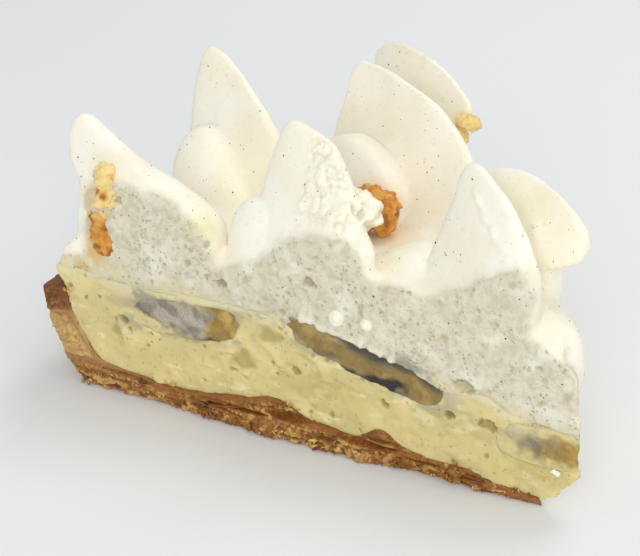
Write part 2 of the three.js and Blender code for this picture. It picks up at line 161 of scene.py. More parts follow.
class Grid:
    """Sample places of a field: negative inside, positive outside."""

    def __init__(self, axes, step):
        self.axes, self.step = axes, step
        self.place = np.meshgrid(*axes, indexing="ij", sparse=True)
        self.x, self.y, self.z = self.place

    @classmethod
    def over(cls, low, high, step):
        return cls([np.arange(a, b + step, step) for a, b in zip(low, high)], step)

    def empty(self):
        return np.full([len(a) for a in self.axes], FAR)

    def block(self, low, high):
        """The part of the grid that lies in a box, as slices and a smaller grid."""
        cut = [slice(*np.searchsorted(values, (a, b))) for values, a, b in zip(self.axes, low, high)]
        return tuple(cut), Grid([values[part] for values, part in zip(self.axes, cut)], self.step)


def skin(field, grid):
    """Surface net round the inside of a field: points and quads."""
    for side in range(3):
        np.moveaxis(field, side, 0)[[0, -1]] = FAR
    inside = field < 0
    places, owners, quads = [], [], []
    for along in range(3):
        low = tuple(slice(0, -1) if d == along else slice(None) for d in range(3))
        high = tuple(slice(1, None) if d == along else slice(None) for d in range(3))
        crossed = inside[low] != inside[high]
        start = np.argwhere(crossed)
        before, after = field[low][crossed], field[high][crossed]
        place = np.stack([grid.axes[d][start[:, d]] for d in range(3)], axis=1)
        place[:, along] += grid.step * before / (before - after)
        beside, above = (along + 1) % 3, (along + 2) % 3
        ring = []
        for one, two in ((-1, -1), (0, -1), (0, 0), (-1, 0)):
            cell = start.copy()
            cell[:, beside] += one
            cell[:, above] += two
            ring.append(np.ravel_multi_index(cell.T, field.shape))
        ring = np.stack(ring, axis=1)
        ring[before > 0] = ring[before > 0][:, ::-1]
        quads.append(ring)
        owners.append(ring.ravel())
        places.append(np.repeat(place, 4, axis=0))
    cells, faces = np.unique(np.concatenate(quads), return_inverse=True)
    spot = np.searchsorted(cells, np.concatenate(owners))
    places = np.concatenate(places)
    count = np.bincount(spot)
    points = np.stack([np.bincount(spot, places[:, d]) / count for d in range(3)], axis=1)
    return points, faces.reshape(-1, 4)


def mesh_of(name, points, faces):
    mesh = bpy.data.meshes.new(name)
    mesh.from_pydata(points.tolist(), [], faces.tolist())
    mesh.shade_smooth()
    return mesh


def skin_mesh(name, field, grid):
    return mesh_of(name, *skin(field, grid))


def points_of(mesh):
    values = np.empty(len(mesh.vertices) * 3)
    mesh.vertices.foreach_get("co", values)
    return values.reshape(-1, 3)


def normals_of(mesh):
    values = np.empty(len(mesh.vertices) * 3, np.float32)
    mesh.vertex_normals.foreach_get("vector", values)
    return values.reshape(-1, 3)


def surface_of(mesh):
    return points_of(mesh), normals_of(mesh)


def move_points(mesh, points):
    mesh.vertices.foreach_set("co", points.ravel())
    mesh.update()


def refine(mesh, zone):
    """Split the faces whose corners all lie in the zone, a truth value per point.

    Gives the points and normals after it.
    """
    work = bmesh.new()
    work.from_mesh(mesh)
    chosen = [e for e in work.edges if zone[e.verts[0].index] and zone[e.verts[1].index]]
    bmesh.ops.subdivide_edges(work, edges=chosen, cuts=1, use_grid_fill=True)
    work.to_mesh(mesh)
    work.free()
    mesh.shade_smooth()
    return surface_of(mesh)


def thin_out(mesh, keep, share):
    """Merge small faces to a share of their number, least where `keep` is 1."""
    obj = bpy.data.objects.new("thinning", mesh)
    bpy.context.collection.objects.link(obj)
    group = obj.vertex_groups.new(name="free")
    group.add(np.flatnonzero(keep < 0.5).tolist(), 1.0, "REPLACE")
    modifier = obj.modifiers.new("thin", "DECIMATE")
    modifier.ratio = share
    modifier.vertex_group = "free"
    graph = bpy.context.evaluated_depsgraph_get()
    result = bpy.data.meshes.new_from_object(obj.evaluated_get(graph))
    bpy.data.objects.remove(obj)
    result.shade_smooth()
    return result


def soften(mesh, values, rounds):
    """Spread a mask over neighbouring points, so that it fades at its edge."""
    ends = np.empty(len(mesh.edges) * 2, np.int32)
    mesh.edges.foreach_get("vertices", ends)
    one, two = ends.reshape(-1, 2).T
    count = np.maximum(np.bincount(ends, minlength=len(values)), 1)
    for _ in range(rounds):
        total = np.bincount(one, values[two], len(values)) + np.bincount(two, values[one], len(values))
        values = 0.5 * values + 0.5 * total / count
    return values


def finish_piece(name, mesh, material, masks, replaces=()):
    for mask, values in masks.items():
        layer = mesh.attributes.new(mask, "FLOAT", "POINT")
        layer.data.foreach_set("value", np.asarray(values, np.float32))
    move_points(mesh, (points_of(mesh) + TO_FRAME) * MM)
    mesh.materials.clear()
    mesh.materials.append(material)
    obj = bpy.data.objects.new(name, mesh)
    bpy.context.collection.objects.link(obj)
    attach(obj, "root")
    if replaces:
        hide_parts(*replaces)
    return obj


# ---- shapes of the slice

CORNER_RADIUS, BASE_RADIUS, RIM_HEIGHT, WALL_START = 93, 95.5, 18.9, 4.8
WALL_INNER_FLARE, WALL_FLARE, WALL_BELLY = 9.8, 12, 0.4
CRUST_TIP, TIP_REACH = -1.6, 40
BASE_THICKNESS = [(0, 0.5), (4, 1.2), (9, 1.9), (17, 3.3), (28, 3.9), (34, 6.4), (39, 4), (47, 4.4),
                  (56.5, 7.2), (63, 5.8), (72, 4.6), (80, 4.2), (88, 5.2), (93, 5.6)]
CUSTARD_TOP = [(-6, 14), (0, 14.6), (8, 16.4), (14, 18.6), (20.6, 17.3), (26, 17.6), (38, 20.5),
               (50, 22.6), (60, 23.7), (80, 24), (104, 24.2)]
VALLEY_TOP = [(-4, 26.5), (0, 29.6), (4, 30.6), (10, 33.5), (18, 36.3), (30, 35.8), (45, 34.2),
              (60, 32.6), (72, 31.6), (90, 31.8), (97, 31.2), (104, 29)]
FILLING_TIP = [(0, -3), (3, 1.5), (8, 5.6), (15, 5.3), (26, 4.3), (31, 2.2), (60, 2.2)]
CREAM_RADIUS = [(20, 103.2), (24.5, 103.6), (28, 102.6), (33, 99.4), (40, 98)]

# Piped fins: on a vertical plane through `at`, turned by `turn` degrees, with the outline
# as (along, height) points, half thicknesses at foot and crest, a backward lean, and `edge`,
# which is larger for a rounder edge.
FINS = [
    dict(at=(-84, 3.6), turn=-3, lean=0.1, half=(7.5, 2), edge=0.46,
         outline=[(14.5, 36.5), (6.4, 43.2), (-4, 47.4), (-11, 50.9), (-16.4, 53.5), (-19.4, 51.2),
                  (-19, 46), (-15.6, 40.5), (-15, 30), (-4, 20), (12, 22)]),
    dict(at=(-86, 36), turn=-20, lean=0.1, half=(5.4, 1.4), edge=0.6,
         outline=[(14.6, 42), (9.6, 48.2), (5, 51), (-0.5, 54.4), (-5.6, 56.8), (-9.6, 56.8),
                  (-11.6, 50), (-11.8, 40), (-11, 26), (4, 20), (14.6, 26)]),
    dict(at=(-50, 3), turn=-16, lean=0.24, half=(6.4, 1.8),
         outline=[(12.4, 38), (7.8, 45.4), (4.2, 52), (0, 56.4), (-5, 58.2), (-10.6, 58.6),
                  (-13, 54), (-14, 45), (-13.4, 32), (-4, 22), (10, 25)]),
    dict(at=(-46, 37), turn=-22, lean=0.12, half=(5.6, 1.4), edge=0.6,
         outline=[(17, 41), (14, 46.6), (8.4, 52.4), (1, 56.2), (-8, 57.6), (-17, 57.8), (-21, 56.6),
                  (-22.6, 50), (-24, 41), (-22, 28), (-4, 20), (12, 25)]),
    dict(at=(-50, 55), turn=-32, lean=0.06, half=(5, 1.3), edge=0.6,
         outline=[(10.8, 50), (7, 53), (-3, 55.4), (-13, 56.2), (-21, 54), (-25, 49), (-23, 32),
                  (-4, 20), (1, 26), (5, 41)]),
    dict(at=(-19.5, 6), turn=-28, lean=0.18, half=(6.4, 1.6),
         outline=[(15, 40), (11.8, 46.4), (6.6, 52.2), (0.6, 55.8), (-4.6, 57.4), (-7.6, 55.4),
                  (-9.2, 48), (-10.6, 38), (-9, 28), (4, 22), (13, 29)]),
    dict(at=(-10, 15.4), turn=-18, lean=0.08, half=(4.8, 1.3), edge=0.6,
         outline=[(9.6, 45.6), (7.6, 49.4), (2, 52.8), (-7, 54.2), (-15.6, 51.6), (-19, 44),
                  (-17, 28), (-4, 20), (2.6, 31), (3.8, 39.6), (7.6, 41.4)]),
]

# The rounded foot that each fin was started from, as a short fat fin in front of it.
LOBES = [
    dict(at=(-87.5, 30.4), turn=-14, lean=0.2, half=(5.4, 1.8),
         outline=[(12.4, 33), (5.4, 39.6), (-2.4, 43.8), (-7, 41), (-8.4, 34), (-6, 26), (4, 25)]),
    dict(at=(-61.6, 6.6), turn=-14, lean=0.1, half=(5.8, 4.2),
         outline=[(6.6, 36), (4.2, 42), (-0.4, 44.4), (-4.8, 42.2), (-6.8, 36), (-5, 27), (4, 27)]),
    dict(at=(-56, 33), turn=-20, lean=0.2, half=(5.4, 3.2),
         outline=[(11, 36), (7, 43), (-2, 46.6), (-9, 44.6), (-12, 38), (-8, 27), (5, 26)]),
    dict(at=(-61, 50.5), turn=-34, lean=0.2, half=(5.6, 3.4),
         outline=[(10, 34), (5, 41), (-2, 44.4), (-8, 42), (-10, 35), (-7, 26), (4, 26)]),
    dict(at=(-31.4, 11.6), turn=-28, half=(6, 5),
         outline=[(9, 33), (5, 37.4), (-1, 39), (-6, 37.6), (-9, 33), (-5, 28), (4, 28)]),
    dict(at=(-78, 50.5), turn=-33, half=(7.5, 6),
         outline=[(12, 31), (6, 35), (0, 36.4), (-6, 35.4), (-11, 31), (-5, 27), (5, 27)]),
]
TIP_DOLLOP = dict(at=(-5.8, 6.8), turn=-35, half=(6.7, 4.6),
                  outline=[(7.4, 22), (6.6, 29), (4, 32.6), (0, 34.2), (-7, 34.8), (-10, 30),
                           (-7, 21), (3, 17)])
FOOT_HEIGHT, CREST_HEIGHT, OVERHANG_HEIGHT = 32, 54, 30
FOOT_FILLET = 2.6  # how softly fins grow out of the layer
SPLINE_STEPS = 14  # parts of a fin's outline between two of its points

SLAB_POWER = 4.4  # how square the edge of a slice is
# Oval banana slices: centre, radii, slope along X.
BANANAS = {
    "banana_left": ((-75.6, 4, 18.9), (13.6, 11, 3.9), 0.09),
    "banana_middle": ((-37.4, 4, 19.6), (17.2, 12.5, 3.4), -0.24),
    "banana_tip": ((-2.2, 2.6, 11.7), (9.4, 9, 4.1), 0.02),
    "banana_back_outer": ((-55, 57, 20.2), (13, 15, 3.5), 0.05),
    "banana_back_inner": ((-30.5, 31, 18.8), (10.5, 10.5, 3.3), -0.1),
}

# Caramelised crumble, as fused lumps of (centre, radii).
NUGGETS = {
    "nugget_left": [((-92.6, 1.6, 44), (2.7, 2.6, 3.4)), ((-92.2, 0.9, 40.6), (3.1, 2.4, 3.2)),
                    ((-93.6, 1.2, 35.6), (2.8, 2.5, 4.2)), ((-93.4, 1, 31), (3.2, 2.2, 3.8))],
    "nugget_middle": [((-47.6, 22.6, 39.2), (5.4, 3.4, 5.1)), ((-44.4, 21.6, 38.6), (3.2, 2.8, 4.7)),
                      ((-50.4, 22.6, 36.4), (3, 2.8, 3.6))],
    "nugget_back": [((-40.4, 48.6, 48.6), (3, 2.2, 1.9)), ((-42, 48, 45.8), (2.3, 2, 2.7))],
}
CURD = [((-43.8, 7.4, 46.2), (3.2, 2.8, 2.5)), ((-41, 8, 45.4), (2.6, 2.4, 2.8))]

# The largest bubbles on the front cut: x, z, half width, half height.
BUBBLES = [(-17.5, 20, 2.1, 1.2), (-12.6, 13.2, 2.1, 1.2), (-20.2, 13.4, 1, 0.9),
           (-33.4, 12, 0.9, 0.9), (-89.2, 16, 1.2, 1), (-48.8, 33, 1.3, 1.1), (-67, 28.8, 1, 0.9)]


def from_axis(x, y):
    """Distance from the axis, negative beyond the tip."""
    return np.hypot(x, y) * np.where(np.asarray(x) > 0, -1, 1)


def round_axis(x, y, least):
    """Angle from the front cut. `least` keeps it steady near the axis."""
    return np.arctan2(np.maximum(y, 0), np.maximum(-x, least))


def custard_top(x, y):
    return curve_at(CUSTARD_TOP, from_axis(x, y)) + 0.5 * noise(x / 12, y / 12, 0, 4)


def valley_top(x, y):
    return curve_at(VALLEY_TOP, from_axis(x, y)) + 0.7 * noise(x / 14, y / 14, 0, 9)


def wall_inner(z):
    rise = np.clip((z - WALL_START) / (RIM_HEIGHT - WALL_START), 0, 1)
    return CORNER_RADIUS + WALL_INNER_FLARE * rise ** 0.55


def wall_outer(z):
    return BASE_RADIUS + WALL_FLARE * np.clip(z / RIM_HEIGHT, 0, 1.1) ** WALL_BELLY


def base_top(r, angle):
    blisters = 1 + 0.14 * noise(r / 11, angle * 6, 0, 3)
    return curve_at(BASE_THICKNESS, r + 2.5 * np.sin(angle * 7)) * blisters


def cut_relief(s, z, seed):
    return 0.28 * (noise(s / 9, z / 6, 0, seed) + 0.8 * noise(s / 3.4, z / 3, 0, seed + 5))


def torn_lean(x, z):
    """The torn top of the middle fin leans back from the front cut."""
    return 0.3 * np.maximum(0, z - 45) * ease(-56, -50, x) * (1 - ease(-42, -38, x))


def outside_front(x, y, z):
    return cut_relief(x, z, 1) + torn_lean(x, z) - y


def along_back(x, y):
    return -x * OUT_Y + y * OUT_X


def outward(x, y):
    """How far a place or a direction leads out through the back cut."""
    return x * OUT_X + y * OUT_Y


def outside_back(x, y, z):
    s = along_back(x, y)
    tip = curve_at(FILLING_TIP, z) * np.clip(1 - s / 26, 0, 1) ** 2
    return outward(x - tip, y)


def spline_ring(outline):
    """A closed smooth curve through the outline's points."""
    p = np.array(outline, float)
    a, b, c = np.roll(p, 1, 0), np.roll(p, -1, 0), np.roll(p, -2, 0)
    t = (np.arange(SPLINE_STEPS) / SPLINE_STEPS)[:, None, None]
    curve = 0.5 * (2 * p + (b - a) * t + (2 * a - 5 * p + 4 * b - c) * t**2
                   + (3 * p - a - 3 * b + c) * t**3)
    return curve.transpose(1, 0, 2).reshape(-1, 2)


def fin_distance(g, at, turn, half, outline, lean=0, edge=0.5):
    ring = spline_ring(outline)
    middle = (np.min(outline, axis=0) + np.max(outline, axis=0)) / 2
    spoke = ring - middle
    turnings = np.arctan2(spoke[:, 1], spoke[:, 0])
    order = np.argsort(turnings)
    heading = math.radians(turn)
    cos, sin = math.cos(heading), math.sin(heading)
    x, y = g.x - at[0], g.y - at[1]
    t = x * cos + y * sin - middle[0]
    warp = 0.5 * np.sin(t / 5 + at[0])  # fins are never quite flat
    n = -x * sin + y * cos - lean * (g.z - FOOT_HEIGHT) - warp * ease(34, 50, g.z)
    h = g.z - middle[1]
    reach = np.interp(np.arctan2(h, t), turnings[order], np.hypot(*spoke.T)[order], period=2 * np.pi)
    thick = half[0] + (half[1] - half[0]) * ease(FOOT_HEIGHT, CREST_HEIGHT, g.z)
    field = (t * t + h * h) / reach**2 + np.minimum(np.abs(n) / thick, 4) ** (2 / edge) - 1
    slope = np.sqrt(sum(part**2 for part in np.gradient(np.clip(field, -1, 40), g.step)))
    return np.clip(field, -1, 40) / np.maximum(slope, 0.02)


def add_fin(field, grid, spec, soft):
    """Joins one fin into a field, near the fin alone."""
    reach = max(abs(t) for t, _ in spec["outline"]) + 5
    tall = max(z for _, z in spec["outline"]) + 4
    x, y = spec["at"]
    low = (x - reach, y - reach * 0.65 - spec["half"][0] - 3, 12)
    high = (x + reach, y + reach * 0.65 + spec["half"][0] + 6, tall)
    cut, g = grid.block(low, high)
    field[cut] = join(field[cut], fin_distance(g, **spec), soft)


def ball_distance(g, centre, radii):
    spread = [(v - c) / r for v, c, r in zip(g.place, centre, radii)]
    return (np.sqrt(sum(part**2 for part in spread)) - 1) * min(radii)


def box_round(lumps, margin):
    """Corners of a box round lumps of (centre, radii), larger by `margin`."""
    low = np.min([np.subtract(c, r) for c, r in lumps], axis=0) - margin
    high = np.max([np.add(c, r) for c, r in lumps], axis=0) + margin
    return low, high


def add_lump(field, grid, lump, margin, soft):
    """Joins a lump of (centre, radii) into a field, near the lump alone."""
    cut, g = grid.block(*box_round([lump], margin))
    field[cut] = join(field[cut], ball_distance(g, *lump), soft)


def slab_distance(places, centre, radii, slope):
    x, y = places[0] - centre[0], places[1] - centre[1]
    z = places[2] - centre[2] - slope * x
    size = ((x / radii[0]) ** 2 + (y / radii[1]) ** 2 + np.abs(z / radii[2]) ** SLAB_POWER) ** 0.5
    return (size - 1) * min(radii) * 0.8


# ---- materials

def srgb(r, g, b):
    def linear(c):
        c /= 255
        return c / 12.92 if c <= 0.04045 else ((c + 0.055) / 1.055) ** 2.4
    return (linear(r), linear(g), linear(b), 1.0)


class Look:
    """A material built from nodes. Each method gives an output to feed to the next."""

    def __init__(self, name, roughness):
        self.material = bpy.data.materials.new(name)
        self.material.use_nodes = True
        self.tree = self.material.node_tree
        self.shader = self.tree.nodes["Principled BSDF"]
        self.shader.inputs["Roughness"].default_value = roughness
        self.place = self.node("TexCoord").outputs["Object"]

    def feed(self, socket, value):
        if isinstance(value, bpy.types.NodeSocket):
            self.tree.links.new(value, socket)
        else:
            socket.default_value = value

    def node(self, kind, **inputs):
        node = self.tree.nodes.new("ShaderNode" + kind)
        for socket, value in inputs.items():
            self.feed(node.inputs[socket], value)
        return node

    def mask(self, name):
        node = self.node("Attribute")
        node.attribute_name = name
        return node.outputs["Fac"]

    def lumps(self, size, detail, rough=0.5, stretch=(1, 1, 1)):
        where = self.place
        if stretch != (1, 1, 1):
            where = self.node("Mapping", Scale=stretch, Vector=where).outputs["Vector"]
        return self.node("TexNoise", Scale=1 / (size * MM), Detail=detail, Roughness=rough,
                         Vector=where).outputs["Fac"]

    def step(self, value, low, high, out_low=0.0, out_high=1.0):
        limits = {"From Min": low, "From Max": high, "To Min": out_low, "To Max": out_high}
        node = self.node("MapRange", Value=value, **limits)
        node.interpolation_type = "SMOOTHSTEP"
        return node.outputs["Result"]

    def patches(self, size, detail, low, high, rough=0.5, stretch=(1, 1, 1)):
        return self.step(self.lumps(size, detail, rough, stretch), low, high)

    def holes(self, size, low, high):
        """1 in round spots `size` millimetres apart."""
        node = self.node("TexVoronoi", Scale=1 / (size * MM), Vector=self.place)
        return self.step(node.outputs["Distance"], low, high, 1, 0)

    def math(self, operation, a, b):
        node = self.node("Math")
        node.operation = operation
        self.feed(node.inputs[0], a)
        self.feed(node.inputs[1], b)
        return node.outputs["Value"]

    def times(self, a, b):
        return self.math("MULTIPLY", a, b)

    def blend(self, a, b, share):
        node = self.node("Mix")
        node.data_type = "RGBA"
        self.feed(node.inputs["Factor"], share)
        self.feed(node.inputs[6], a)
        self.feed(node.inputs[7], b)
        return node.outputs[2]

    def coats(self, base, *coats):
        """A colour under coats of (red, green, blue, share), where a share may name a mask."""
        mixed = srgb(*base) if isinstance(base, tuple) else base
        for *colour, share in coats:
            share = self.mask(share) if isinstance(share, str) else share
            mixed = self.blend(mixed, srgb(*colour), share)
        return mixed

    def paint(self, base, *coats):
        self.feed(self.shader.inputs["Base Color"], self.coats(base, *coats))

    def bump(self, height, depth):
        """Bumps of `depth` millimetres, over any that are there already."""
        node = self.node("Bump", Distance=depth * MM, Height=height)
        before = self.shader.inputs["Normal"].links
        if before:
            self.feed(node.inputs["Normal"], before[0].from_socket)
        self.feed(self.shader.inputs["Normal"], node.outputs["Normal"])


def soft_food(name, roughness, scatter, radius):
    """A look that light enters, by up to `radius` (red, green, blue) millimetres."""
    look = Look(name, roughness)
    look.shader.inputs["Subsurface Weight"].default_value = scatter
    look.shader.inputs["Subsurface Radius"].default_value = [c * MM for c in radius]
    look.shader.inputs["Subsurface Scale"].default_value = 1.0
    return look


def cream_material():
    look = soft_food("whipped_cream", 0.55, 0.22, (2.2, 1.7, 1.1))
    cut, foam_relief = look.mask("cut"), look.lumps(1.6, 5, 0.6)
    smooth = look.coats((252, 247, 232), (246, 239, 217, look.patches(14, 2, 0.35, 0.7)),
                        (238, 229, 200, look.times(look.patches(1.3, 4, 0.56, 0.7), 0.4)))
    # The foam is lighter on the bumps that the same noise raises below and darker between them: painted
    # light and shade on its relief.
    foam = look.coats((206, 199, 172), (221, 215, 192, look.step(foam_relief, 0.34, 0.6)),
                      (232, 228, 210, look.patches(4.2, 4, 0.5, 0.7)),
                      (194, 188, 158, look.patches(2.4, 3, 0.58, 0.72)))
    # The tiny holes are pressed in by a bump below and also darkened: the dark coat is painted shade in
    # them, in the pores and between the clots.
    tiny = look.times(look.holes(0.9, 0.12, 0.34), look.patches(5, 3, 0.46, 0.62))
    dark = look.math("MAXIMUM", look.mask("pore"), look.times(look.times(tiny, cut), 0.22))
    # The grey coat is the left banana slice's smear near that slice, and painted shade over the middle
    # slice.
    look.paint(look.blend(smooth, foam, cut), (249, 244, 224, "torn"), (184, 174, 132, dark),
               (224, 213, 168, "custardy"), (148, 142, 124, "grey"), (222, 180, 108, "stain"),
               (222, 220, 160, "bruise"))
    look.bump(look.times(foam_relief, cut), 0.35)
    look.bump(look.times(tiny, look.times(cut, -1.0)), 0.25)
    look.bump(look.lumps(0.6, 4, 0.6), 0.1)
    look.bump(look.lumps(2.8, 3), 0.14)
    return look.material


def custard_material():
    look = soft_food("custard", 0.42, 0.35, (2.2, 1.6, 0.7))
    # Small round spots and the pores get a dark coat: painted shade in pits and pores.
    tiny = look.times(look.holes(1.7, 0.1, 0.22), look.patches(7, 2, 0.45, 0.6))
    dark = look.math("MAXIMUM", look.mask("pore"), look.times(tiny, 0.45))
    streaks = look.patches(2.6, 5, 0.55, 0.7, stretch=(0.5, 0.5, 1))
    # The olive coat is painted shade.
    look.paint((226, 209, 148), (212, 196, 134, look.patches(7, 4, 0.35, 0.65)), (238, 224, 172, streaks),
               (198, 186, 122, look.patches(2.4, 5, 0.57, 0.72, 0.6)), (160, 140, 56, dark),
               (226, 217, 180, "milky"), (168, 152, 84, "olive_shade"), (160, 153, 134, "grey"))
    look.bump(look.lumps(1.0, 4, 0.6), 0.18)
    return look.material


def crust_material():
    look = soft_food("crust", 0.6, 0.12, (1.4, 0.7, 0.3))
    pale = look.times(look.mask("pale"), look.patches(3, 3, 0.38, 0.6))
    # The darkest coat is painted shade in the gaps between the pastry's leaves and the hollows between its
    # crumbs; the pale coat is partly painted highlight on the raised crumbs.
    look.paint((168, 110, 40), (138, 83, 26, look.patches(0.9, 4, 0.4, 0.62, 0.65)),
               (122, 70, 22, look.patches(4, 4, 0.46, 0.66, 0.65)), (202, 170, 112, "wall"),
               (148, 94, 42, "skin"), (226, 186, 110, pale), (116, 66, 28, "toast"), (92, 50, 18, "gap_shade"))
    look.bump(look.lumps(0.5, 4, 0.65), 0.25)
    return look.material


def banana_material():
    look = soft_food("banana", 0.34, 0.3, (2.0, 1.4, 0.6))
    # The darkest coat is partly painted shade: in the left slice's hole and top-left corner, and along the
    # middle slice's top edge under the cream.
    look.paint((171, 140, 66), (151, 122, 54, look.patches(2.6, 4, 0.38, 0.64)),
               (196, 164, 88, look.patches(4, 3, 0.54, 0.7)),
               (122, 98, 52, look.patches(1.4, 5, 0.56, 0.72, 0.65)), (216, 202, 146, "custard"),
               (190, 183, 168, "smear"), (98, 90, 70, "shade"), (38, 36, 34, "dark"))
    look.bump(look.lumps(1.2, 4, 0.6), 0.3)
    look.bump(look.times(look.lumps(0.6, 4), look.mask("smear")), 0.5)
    return look.material


def crumble_material():
    look = soft_food("crumble", 0.42, 0.15, (1.5, 0.8, 0.3))
    look.paint((226, 166, 66), (204, 128, 36, look.patches(1.8, 4, 0.4, 0.62)), (244, 218, 146, "pale"),
               (140, 74, 24, "burnt"))
    look.bump(look.lumps(0.6, 4, 0.65), 0.3)
    return look.material


def speck_material():
    look = Look("vanilla_speck", 0.6)
    look.paint((38, 32, 28), (150, 116, 62, "tan"))
    look.bump(look.lumps(0.15, 2), 0.03)
    return look.material


# ---- pores

rng = np.random.default_rng(48)

# Pores of the front cut: how many are tried, low and high (x, z) corner, smallest and largest
# half width, width of a clump, and the share that stays.
CREAM_PORES = [(1500, (-104, 18), (4, 56), (0.16, 0.46), 5, 0.22),
               (130, (-104, 20), (2, 54), (0.45, 1.05), 20, 0.7)]
CUSTARD_PORES = [(900, (-104, 3), (6, 24), (0.16, 0.6), 6, 0.25),
                 (34, (-102, 4), (3, 22), (0.5, 1.1), 20, 0.7)]
BUBBLE_DEPTH, BUBBLE_TILT = 1.8, -0.3


def scatter_pores(count, low, high, sizes, clump, share):
    """Random pores: x, z, half width, half height, depth, tilt."""
    x = rng.uniform(low[0], high[0], count)
    z = rng.uniform(low[1], high[1], count)
    kept = rng.uniform(0, 1, count) < share + 0.6 * noise(x / clump, 0, z / clump, 31)
    size = sizes[0] + (sizes[1] - sizes[0]) * rng.power(0.3, count)
    return [(px, pz, s, s * rng.uniform(0.45, 1), s * rng.uniform(0.5, 0.9), rng.uniform(-1.2, 1.2))
            for px, pz, s in zip(x[kept], z[kept], size[kept])]


def press_pores(points, front, kinds):
    """Presses pores and the large bubbles into the front cut.

    Gives the moved points and how deep in a pore each one lies, 0..1.
    """
    pores = sum((scatter_pores(*kind) for kind in kinds), [])
    pores += [(x, z, wide, high, BUBBLE_DEPTH, BUBBLE_TILT) for x, z, wide, high in BUBBLES]
    depth_in = np.zeros(len(points))
    where = np.flatnonzero(front > 0.5)
    where = where[np.argsort(points[where, 0])]
    flat = points[where][:, [0, 2]]
    ragged = 0.35 * noise(flat[:, 0] / 0.6, 0, flat[:, 1] / 0.6, 35)
    for x, z, wide, high, depth, tilt in pores:
        reach = 1.4 * max(wide, high)
        first, last = np.searchsorted(flat[:, 0], (x - reach, x + reach))
        right, up = (flat[first:last] - (x, z)).T
        cos, sin = math.cos(tilt), math.sin(tilt)
        size = np.hypot((right * cos + up * sin) / wide, (up * cos - right * sin) / high)
        size = size + ragged[first:last]
        inside = np.flatnonzero(size < 1)
        rows = where[first + inside]
        hollow = (1 - np.maximum(size[inside], 0) ** 2) ** 0.5
        depth_in[rows] = np.maximum(depth_in[rows], hollow)
        points[rows, 1] += depth * hollow
    return points, depth_in


# ---- whipped cream

CREAM_STEP = 0.5
CREAM_FACES = 0.62  # share of the smooth faces that stays
OVERLAP = 0.7  # the fillings reach into each other
BANANA_SINK = 0.5  # how far banana slices reach into their beds
FACET = (0.423, 0.906, 40.6)  # plane that bevels the left fin's far end
WHITE_DROPS = [((-42.9, -0.1, 27.4), (1.1, 1.0, 1.2)), ((-37.0, -0.1, 27.4), (0.9, 0.9, 0.9))]
RIDGE = ((-21.2, 53.6), (-10.4, 45))  # torn cream on the right front fin: its two ends

# Spots on the front cut: (x, z) and half sizes. The second is a painted shadow on the cream over the middle
# banana slice's top edge.
STAIN_FOOT = ((-97.6, 25.6), (2.8, 2))
SHADOW_OVER_MIDDLE_BANANA = ((-29, 20.6), (7, 2.4))


def make_cream(material):
    grid = Grid.over((-112, -6, 12), (12, 84, 62), CREAM_STEP)
    piped = grid.empty()
    for spec in FINS:
        add_fin(piped, grid, spec, 0.5)
    piped = meet(piped, -grid.x * FACET[0] - grid.y * FACET[1] - FACET[2], 0.4)
    for spec in LOBES:
        add_fin(piped, grid, spec, 0.3)
    back = outside_back(*grid.place)
    piped = np.where(grid.z < OVERHANG_HEIGHT, meet(piped, back, 0.8), piped)
    add_fin(piped, grid, TIP_DOLLOP, 2.0)
    layer = (grid.z - valley_top(grid.x, grid.y)) * 0.95
    layer = meet(layer, np.hypot(grid.x, grid.y) - curve_at(CREAM_RADIUS, grid.z), 1.6)
    layer = meet(layer, back, 0.6)
    field = join(layer, piped, FOOT_FILLET)
    for lump in CURD:
        add_lump(field, grid, lump, 3, 0.8)
    field = meet(field, outside_front(*grid.place), 0.9)
    add_drips(field, grid)
    field = np.maximum(field, custard_top(grid.x, grid.y) - OVERLAP - grid.z)
    carve_bananas(field, grid)
    return texture_cream(skin_mesh("whipped_cream", field, grid), material)


def add_drips(field, grid):
    """Cream that the knife pulled down over the top edge of the middle banana slice."""
    centre, radii, slope = BANANAS["banana_middle"]
    for x in np.arange(-50, -31, 1.5):
        x += rng.uniform(-0.5, 0.5)
        left = 1 - ((x - centre[0]) / radii[0]) ** 2 - (centre[1] / radii[1]) ** 2
        edge = centre[2] + slope * (x - centre[0]) + radii[2] * max(left, 0) ** (1 / SLAB_POWER)
        z = edge + rng.uniform(-0.6, 0.6)
        drop = (x, 0.1, z), (rng.uniform(0.6, 1.1), 0.9, rng.uniform(1.2, 2.3))
        add_lump(field, grid, drop, 2, 0.7)
    for drop in WHITE_DROPS:
        add_lump(field, grid, drop, 2, 0.4)


def carve_bananas(field, grid):
    for centre, radii, slope in BANANAS.values():
        cut, g = grid.block(*box_round([(centre, radii)], (2, 2, 6)))
        ragged = 0.36 * mottle(g.place, (2, 3, 1.6), 38) + 0.26 * mottle(g.place, (1, 1, 0.9), 39)
        inside = slab_distance(g.place, centre, radii, slope)
        field[cut] = meet(field[cut], ragged - BANANA_SINK - inside, 0.3)


def on_front(points, normals):
    return (np.abs(outside_front(*points.T)) < 0.6) * ease(0.55, 0.85, -normals[:, 1])


def on_back(points, normals):
    return (np.abs(outside_back(*points.T)) < 0.6) * ease(0.6, 0.85, outward(*normals.T[:2]))


def torn_zone(points, normals):
    """The middle fin's right-hand side, which the knife broke open."""
    x, y, z = points.T
    across = ease(-54, -51.5, x) * (1 - ease(-41, -39, x))
    return across * ease(42, 45, z) * (y < 13) * ease(0.1, 0.5, -normals[:, 1])


def opened(mesh):
    """1 on the front cut and where the cream is torn."""
    surface = surface_of(mesh)
    return np.maximum(on_front(*surface), torn_zone(*surface))


def near_lumps(points, lumps, reach):
    """1 at the lumps, easing to 0 at `reach` millimetres from them."""
    nearest = np.full(len(points), FAR)
    for centre, radii in lumps:
        nearest = np.minimum(nearest, np.linalg.norm(points - centre, axis=1) - max(radii))
    return 1 - ease(0, reach, nearest)


